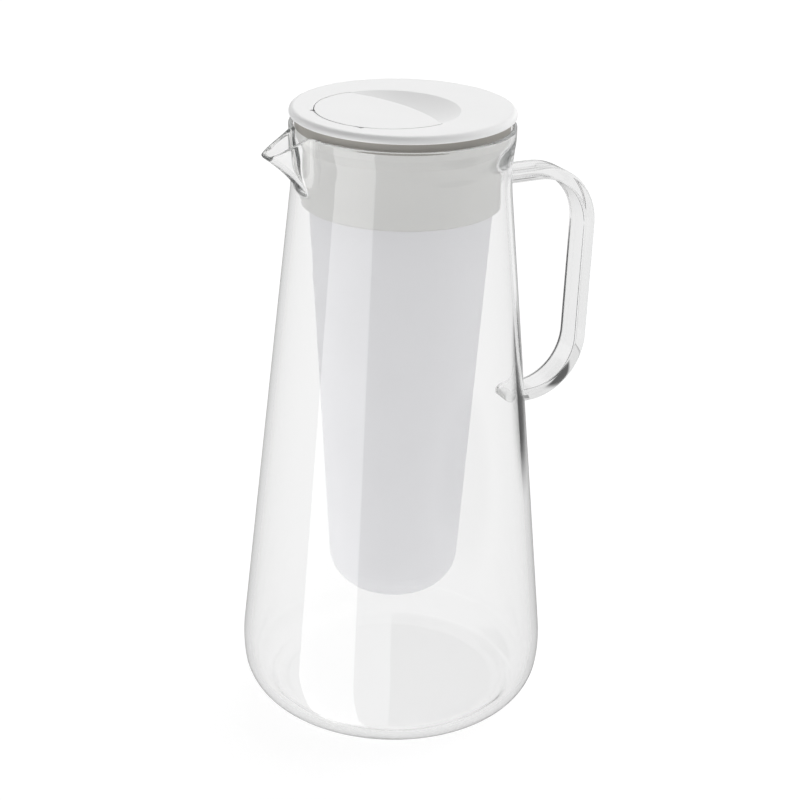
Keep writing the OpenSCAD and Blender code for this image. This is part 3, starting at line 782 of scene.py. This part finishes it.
clear_glass = blown_glass()
glass_jug.data.materials.clear()
glass_jug.data.materials.append(clear_glass)
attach(glass_jug, "jug")
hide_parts("jug_body", "handle")
print("glass is", clear_glass.name)

# %% [markdown]
# The filter holds what no moulding can show: grains, beads and fine fibres. Their colour and gloss
# change from one to the next, which a cell pattern gives.

# %% Finishes of the filter media
GLOSS_SPREAD = 0.15
PIT_SCALE = 4
BEAD_COAT = 0.5


def speckled(name, dark, light, roughness, scale, depth):
    """A finish whose colour and gloss change from grain to grain."""
    finish, tree, shader, place = new_finish(name)
    spots = node_of(tree, "ShaderNodeTexVoronoi", inputs={"Vector": place, "Scale": scale}).outputs["Color"]
    share = node_of(tree, "ShaderNodeSeparateColor", inputs={0: spots}).outputs[0]
    tree.links.new(tint(tree, share, dark, light), shader.inputs["Base Color"])
    tree.links.new(between(tree, share, roughness, roughness + GLOSS_SPREAD), shader.inputs["Roughness"])
    bump(tree, shader, cloud(tree, place, PIT_SCALE * scale), depth)
    return finish


carbon = speckled("carbon", (0.012, 0.012, 0.013), (0.06, 0.06, 0.062),
                  roughness=0.6, scale=650.0, depth=0.05 * MM)
ion_resin = speckled("ion_resin", (0.55, 0.30, 0.07), (0.80, 0.55, 0.20),
                     roughness=0.18, scale=600.0, depth=0.004 * MM)
fibre = speckled("fibre", (0.80, 0.79, 0.74), (0.90, 0.90, 0.87),
                 roughness=0.55, scale=500.0, depth=0.01 * MM)
ion_resin.node_tree.nodes["Principled BSDF"].inputs["Coat Weight"].default_value = BEAD_COAT
print("media finishes made")

# %% [markdown]
# Grains and fibres repeat by the thousand, so Geometry Nodes place them. Each tree has named inputs
# for its sizes and a fixed seed, and its result becomes a plain mesh.

# %% Geometry Nodes helpers
NUMBER = "NodeSocketFloat"
COUNT = "NodeSocketInt"
MOST_POINTS = 4.0e6
ROUND_SIDES = 64


def media_tree(name, sizes):
    """A tree with named inputs for its sizes, a seed and a material."""
    tree = bpy.data.node_groups.new(name, "GeometryNodeTree")
    for size, kind in sizes.items():
        tree.interface.new_socket(size, in_out="INPUT", socket_type=kind)
    tree.interface.new_socket("Seed", in_out="INPUT", socket_type=COUNT)
    tree.interface.new_socket("Material", in_out="INPUT", socket_type="NodeSocketMaterial")
    tree.interface.new_socket("Geometry", in_out="OUTPUT", socket_type="NodeSocketGeometry")
    return tree, tree.nodes.new("NodeGroupInput").outputs


def raised(tree, geometry, height):
    """The geometry, moved up."""
    lift = node_of(tree, "ShaderNodeCombineXYZ", inputs={"Z": height}).outputs[0]
    return node_of(tree, "GeometryNodeTransform", inputs={0: geometry, "Translation": lift}).outputs[0]


def scattered_points(tree, faces, given):
    """Points on faces that keep their spacing from each other."""
    return node_of(tree, "GeometryNodeDistributePointsOnFaces", distribute_method="POISSON",
                   inputs={"Mesh": faces, "Distance Min": given["Spacing"], "Density Max": MOST_POINTS,
                           "Seed": given["Seed"]}).outputs["Points"]


def close_tree(tree, geometry, given):
    """Ends a tree: real geometry with its material."""
    real = node_of(tree, "GeometryNodeRealizeInstances", inputs={0: geometry}).outputs[0]
    done = node_of(tree, "GeometryNodeSetMaterial", inputs={"Geometry": real, "Material": given["Material"]})
    tree.links.new(done.outputs[0], tree.nodes.new("NodeGroupOutput").inputs[0])


def grown(name, tree, values):
    """An object with the plain mesh that a tree makes from these values."""
    piece = plain_object(name, bpy.data.meshes.new(name + "_start"))
    grow = piece.modifiers.new("grow", "NODES")
    grow.node_group = tree
    for item in tree.interface.items_tree:
        if item.in_out == "INPUT":
            grow[item.identifier] = values[item.name]
    made_plain(piece, name)
    return piece


print("trees can be grown")

# %% [markdown]
# A bed of media is a cylinder of grains. Only its outer grains can ever be seen, so they are set
# all over a plain core. Carbon is broken chips, turned at random; ion exchange resin is round beads.

# %% Grain beds
FULL_TURN = (math.tau, math.tau, math.tau)
SMALLEST_GRAIN = 0.7


def bed_tree():
    """Grains over a round core."""
    tree, given = media_tree("grain_bed", {"Radius": NUMBER, "Height": NUMBER, "Base": NUMBER,
                                           "Grain": NUMBER, "Spacing": NUMBER, "Roundness": COUNT})
    core_r = math_node(tree, "SUBTRACT", given["Radius"], given["Grain"])
    core_h = math_node(tree, "MULTIPLY_ADD", given["Grain"], -2.0, given["Height"])
    middle = math_node(tree, "MULTIPLY_ADD", given["Height"], 0.5, given["Base"])
    core = node_of(tree, "GeometryNodeMeshCylinder",
                   inputs={"Vertices": ROUND_SIDES, "Radius": core_r, "Depth": core_h})
    core = raised(tree, core.outputs["Mesh"], middle)
    grain = node_of(tree, "GeometryNodeMeshIcoSphere",
                    inputs={"Radius": given["Grain"], "Subdivisions": given["Roundness"]}).outputs["Mesh"]
    turn = node_of(tree, "FunctionNodeRandomValue", data_type="FLOAT_VECTOR",
                   inputs={1: FULL_TURN, "Seed": given["Seed"]}).outputs[0]
    size = node_of(tree, "FunctionNodeRandomValue",
                   inputs={2: SMALLEST_GRAIN, 3: 1.0, "Seed": given["Seed"]}).outputs[1]
    grains = node_of(tree, "GeometryNodeInstanceOnPoints",
                     inputs={"Points": scattered_points(tree, core, given), "Instance": grain,
                             "Rotation": turn, "Scale": size}).outputs[0]
    joined = node_of(tree, "GeometryNodeJoinGeometry", inputs={0: core})
    tree.links.new(grains, joined.inputs[0])
    close_tree(tree, joined.outputs[0], given)
    return tree


def media_bed(name, node, tree, grain, spacing, roundness, seed, material):
    """A bed of grains in the place of a CAD node, on the cartridge."""
    low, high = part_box(node)
    bed = grown(name, tree, {"Radius": high.x, "Height": high.z - low.z, "Base": low.z, "Grain": grain,
                             "Spacing": spacing, "Roundness": roundness, "Seed": seed, "Material": material})
    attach(bed, "cartridge")
    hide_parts(node)
    return bed


grain_bed = bed_tree()
carbon_grains = media_bed("carbon_grains", "carbon_bed", grain_bed, grain=0.85 * MM, spacing=1.3 * MM,
                          roundness=1, seed=11, material=carbon)
resin_beads = media_bed("resin_beads", "ion_exchange_bed", grain_bed, grain=0.8 * MM, spacing=1.55 * MM,
                        roundness=2, seed=12, material=ion_resin)
resin_beads.data.shade_smooth()
print("beds:", len(carbon_grains.data.polygons), "and", len(resin_beads.data.polygons), "faces")

# %% [markdown]
# The membrane is a bundle of hollow fibres, each as thin as a bristle and never quite straight. One
# bowed fibre is swept along its curve, and copies of it stand on a disc, each turned its own way.

# %% Fibres
FIBRE_R = 0.35 * MM
FIBRE_BOW = 0.5 * MM
FIBRE_SPACING = 1.0 * MM
FIBRE_SEED = 5
FIBRE_STATIONS = 9
FIBRE_SIDES = 5


def fibre_tree():
    """Bowed fibres that stand on a disc."""
    tree, given = media_tree("fibres", {"Radius": NUMBER, "Height": NUMBER, "Base": NUMBER,
                                        "Thick": NUMBER, "Spacing": NUMBER, "Bow": NUMBER})
    disc = node_of(tree, "GeometryNodeMeshCircle", fill_type="NGON",
                   inputs={"Vertices": ROUND_SIDES, "Radius": given["Radius"]}).outputs[0]
    end = node_of(tree, "ShaderNodeCombineXYZ", inputs={"Z": given["Height"]}).outputs[0]
    path = node_of(tree, "GeometryNodeCurvePrimitiveLine", inputs={"End": end}).outputs[0]
    path = node_of(tree, "GeometryNodeResampleCurve",
                   inputs={"Curve": path, "Count": FIBRE_STATIONS}).outputs[0]
    along = node_of(tree, "GeometryNodeSplineParameter").outputs["Factor"]
    swing = math_node(tree, "SINE", math_node(tree, "MULTIPLY", along, math.pi))
    aside = math_node(tree, "MULTIPLY", swing, given["Bow"])
    aside = node_of(tree, "ShaderNodeCombineXYZ", inputs={"X": aside}).outputs[0]
    path = node_of(tree, "GeometryNodeSetPosition", inputs={"Geometry": path, "Offset": aside}).outputs[0]
    ring = node_of(tree, "GeometryNodeCurvePrimitiveCircle",
                   inputs={"Resolution": FIBRE_SIDES, "Radius": given["Thick"]}).outputs[0]
    strand = node_of(tree, "GeometryNodeCurveToMesh",
                     inputs={"Curve": path, "Profile Curve": ring, "Fill Caps": True}).outputs[0]
    spin = node_of(tree, "FunctionNodeRandomValue", inputs={3: math.tau, "Seed": given["Seed"]}).outputs[1]
    turn = node_of(tree, "ShaderNodeCombineXYZ", inputs={"Z": spin}).outputs[0]
    stand = scattered_points(tree, raised(tree, disc, given["Base"]), given)
    strands = node_of(tree, "GeometryNodeInstanceOnPoints",
                      inputs={"Points": stand, "Instance": strand, "Rotation": turn}).outputs[0]
    close_tree(tree, strands, given)
    return tree


fibre_low, fibre_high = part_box("fibre_bundle")
fibres = grown("fibres", fibre_tree(), {
    "Radius": fibre_high.x - FIBRE_R - FIBRE_BOW, "Height": fibre_high.z - fibre_low.z,
    "Base": fibre_low.z, "Thick": FIBRE_R, "Spacing": FIBRE_SPACING, "Bow": FIBRE_BOW,
    "Seed": FIBRE_SEED, "Material": fibre})
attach(fibres, "filter")
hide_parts("fibre_bundle")
print("fibres:", len(fibres.data.polygons), "faces")

# %% [markdown]
# A few more finishes are left: cast resin, woven screens and the drawn wire of the hinge pin.

# %% Resin, screens and wire
THREAD_SCALE = 620.0
THREAD_DEPTH = 0.08 * MM
SCREEN_ROUGH = 0.55
SCRATCH_STRETCH = (6, 1, 6)
SCRATCH_SCALE = 900.0
WIRE_GLOSS = (0.2, 0.38)
RESIN_GRAIN = 900.0


def woven_screen():
    """A fine plastic weave: two crossed waves give the colour and the bump."""
    finish, tree, shader, place = new_finish("screen_mesh")
    threads = [node_of(tree, "ShaderNodeTexWave", bands_direction=way,
                       inputs={"Vector": place, "Scale": THREAD_SCALE}).outputs["Fac"] for way in ("X", "Y")]
    weave = math_node(tree, "MAXIMUM", *threads)
    tree.links.new(tint(tree, weave, (0.30, 0.31, 0.33), (0.78, 0.79, 0.80)), shader.inputs["Base Color"])
    shader.inputs["Roughness"].default_value = SCREEN_ROUGH
    bump(tree, shader, weave, THREAD_DEPTH)
    return finish


def drawn_wire():
    """Bright wire with fine scratches along it."""
    finish, tree, shader, place = new_finish("pin_steel")
    marks = node_of(tree, "ShaderNodeMapping", inputs={"Vector": place, "Scale": SCRATCH_STRETCH}).outputs[0]
    shine = cloud(tree, marks, SCRATCH_SCALE)
    tree.links.new(tint(tree, shine, (0.50, 0.50, 0.52), (0.68, 0.68, 0.70)), shader.inputs["Base Color"])
    tree.links.new(between(tree, shine, *WIRE_GLOSS), shader.inputs["Roughness"])
    shader.inputs["Metallic"].default_value = 1
    return finish


cast_resin = moulding("resin", (0.80, 0.77, 0.66), roughness=0.3, grain=RESIN_GRAIN, vary=0.06)
screen_mesh = woven_screen()
pin_steel = drawn_wire()
print("last finishes made")

# %% [markdown]
# The moulded pieces keep their CAD shapes and get their finishes. What isn't named here is plain
# filter plastic.

# %% Finishes on the CAD nodes
finishes = {
    "lid_plate": lid_plastic, "fill_flap": lid_plastic, "lid_plug": plug_plastic,
    "reservoir_collar": collar_plastic, "reservoir_cup": cup_plastic,
    "collar_seal": grey_silicone, "lid_gasket": grey_silicone,
    "outlet_o_ring": black_rubber, "cartridge_o_ring": black_rubber,
    "potting_plug": cast_resin, "flap_hinge_pin": pin_steel,
    "outlet_screen": screen_mesh, "divider_screen": screen_mesh, "inlet_screen": screen_mesh,
}
for name, node in nodes.items():
    node.data.materials.clear()
    node.data.materials.append(finishes.get(name, filter_plastic))
print(len(finishes), "nodes have their own finish")
